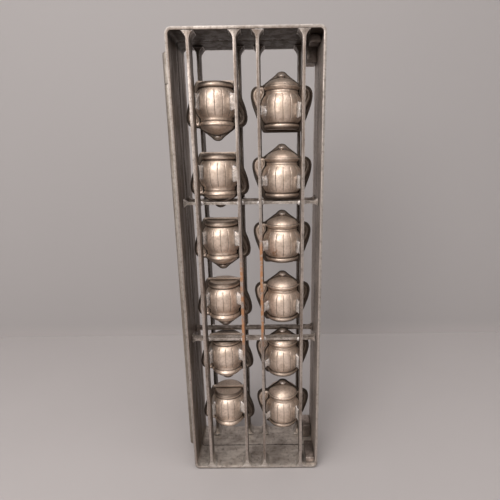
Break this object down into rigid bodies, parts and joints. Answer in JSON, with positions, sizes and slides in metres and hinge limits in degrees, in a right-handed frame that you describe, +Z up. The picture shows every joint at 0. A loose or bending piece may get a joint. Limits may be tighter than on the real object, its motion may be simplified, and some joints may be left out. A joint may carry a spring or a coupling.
{
  "type": "hinged chocolate mould",
  "caption": "Hinged two-part metal mould for hollow chocolate sugar pots: bar frames that close like a book, each holding columns of half shells.",
  "frame": {"origin": "middle of the underside of the shut mould, on the parting plane", "axes": "+Z up along the long side, +X from the hinge to the free side, +Y from the front half to the rear half"},
  "size_m": [0.151, 0.066, 0.455],
  "materials": {
    "frame_steel": "worn bare steel strip, grey-brown with brighter edges",
    "bar_steel": "worn steel strip on edge, brown stains and some rust, pale braze at the feet",
    "tinned_shell": "satin tinned sheet, warm pewter with dark flutes and pale solder",
    "hinge_steel": "rubbed grey steel tube",
    "lug_steel": "dull steel with rough braze"
  },
  "bodies": {
    "rear_half": {"rear_frame": "frame_steel", "rear_long_bar_1": "bar_steel", "rear_long_bar_2": "bar_steel", "rear_long_bar_3": "bar_steel", "rear_long_bar_4": "bar_steel", "rear_cross_bar_lower": "bar_steel", "rear_cross_bar_upper": "bar_steel", "rear_shell_left_1": "tinned_shell", "rear_shell_left_2": "tinned_shell", "rear_shell_left_3": "tinned_shell", "rear_shell_left_4": "tinned_shell", "rear_shell_left_5": "tinned_shell", "rear_shell_left_6": "tinned_shell", "rear_shell_right_1": "tinned_shell", "rear_shell_right_2": "tinned_shell", "rear_shell_right_3": "tinned_shell", "rear_shell_right_4": "tinned_shell", "rear_shell_right_5": "tinned_shell", "rear_shell_right_6": "tinned_shell", "rear_corner_block_top": "lug_steel", "rear_corner_block_bottom": "lug_steel", "hinge_knuckle_middle": "hinge_steel", "hinge_pin": "hinge_steel"},
    "front_half": {"front_frame": "frame_steel", "front_long_bar_1": "bar_steel", "front_long_bar_2": "bar_steel", "front_long_bar_3": "bar_steel", "front_long_bar_4": "bar_steel", "front_cross_bar_lower": "bar_steel", "front_cross_bar_upper": "bar_steel", "front_shell_left_1": "tinned_shell", "front_shell_left_2": "tinned_shell", "front_shell_left_3": "tinned_shell", "front_shell_left_4": "tinned_shell", "front_shell_left_5": "tinned_shell", "front_shell_left_6": "tinned_shell", "front_shell_right_1": "tinned_shell", "front_shell_right_2": "tinned_shell", "front_shell_right_3": "tinned_shell", "front_shell_right_4": "tinned_shell", "front_shell_right_5": "tinned_shell", "front_shell_right_6": "tinned_shell", "front_corner_lug_top": "lug_steel", "front_corner_lug_bottom": "lug_steel", "hinge_knuckle_top": "hinge_steel", "hinge_knuckle_bottom": "hinge_steel"}
  },
  "joints": [
    {"name": "book_hinge", "type": "hinge", "parent": "rear_half", "child": "front_half", "pos_m": [-0.0705, 0, 0.2275], "axis": [0, 0, -1], "range_deg": [0, 180]}
  ]
}
